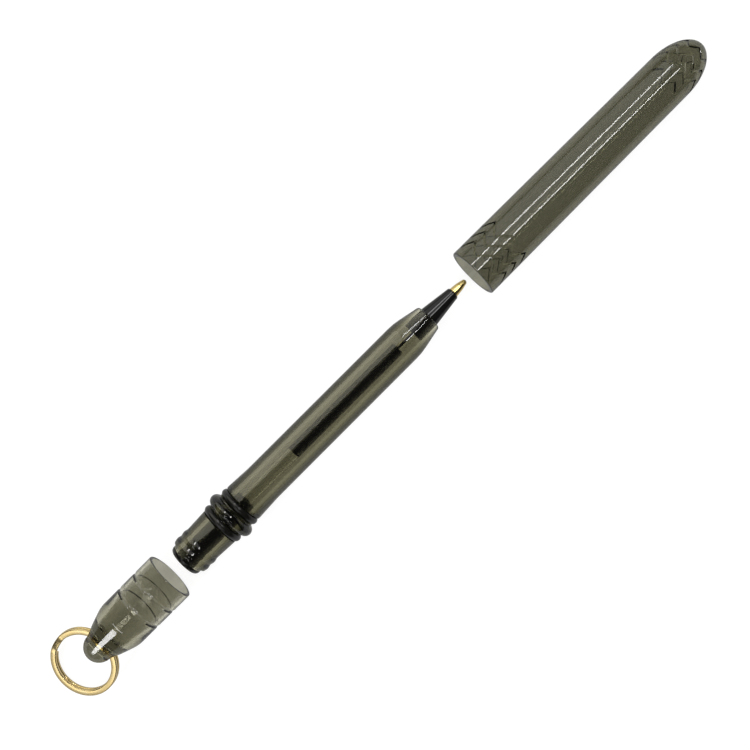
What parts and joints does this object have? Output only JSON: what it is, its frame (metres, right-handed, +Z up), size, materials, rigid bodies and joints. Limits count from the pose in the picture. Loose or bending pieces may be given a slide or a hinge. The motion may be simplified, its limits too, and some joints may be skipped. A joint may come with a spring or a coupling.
{
  "type": "pocket pen",
  "caption": "Pocket ballpoint pen taken apart: smoke barrel with collar and refill, long cap, domed end cap with a split key ring.",
  "frame": {"origin": "on the floor, under the middle of the whole length with both caps off", "axes": "+X along the pen, from the key ring to the long cap's tip; +Z up, from the floor; +Y across"},
  "size_m": [0.1974, 0.0156, 0.0119],
  "materials": {
    "smoke_plastic": "polished, translucent smoke grey",
    "black_rubber": "smooth",
    "black_plastic": "polished",
    "point_brass": "turned and bright",
    "ball_metal": "polished",
    "clear_plastic": "clear",
    "ink": "wet and black",
    "gold_plate": "polished pale gold"
  },
  "bodies": {
    "pen": {"barrel": "smoke_plastic", "front_seal_ring": "black_rubber", "rear_seal_ring": "black_rubber", "nose_cone": "black_plastic", "point_socket": "point_brass", "refill_tube": "clear_plastic", "ink_column": "ink", "rear_plug": "black_plastic"},
    "long_cap": {"long_cap": "smoke_plastic"},
    "end_cap": {"end_cap": "smoke_plastic"},
    "key_ring": {"split_ring": "gold_plate"},
    "writing_ball": {"writing_ball": "ball_metal"}
  },
  "joints": [
    {"name": "cap_slide", "type": "slide", "parent": "pen", "child": "long_cap", "axis": [-1, 0, 0], "range_m": [0, 0.0724]},
    {"name": "end_cap_slide", "type": "slide", "parent": "pen", "child": "end_cap", "axis": [1, 0, 0], "range_m": [0, 0.01699]},
    {"name": "key_ring_swing", "type": "hinge", "parent": "end_cap", "child": "key_ring", "pos_m": [-0.08518, 0, 0.00597], "axis": [0, 1, 0], "range_deg": [-95, 140]},
    {"name": "writing_ball_roll", "type": "hinge", "parent": "pen", "child": "writing_ball", "pos_m": [0.02438, 0, 0.00597], "axis": [0, 1, 0], "continuous": true}
  ]
}
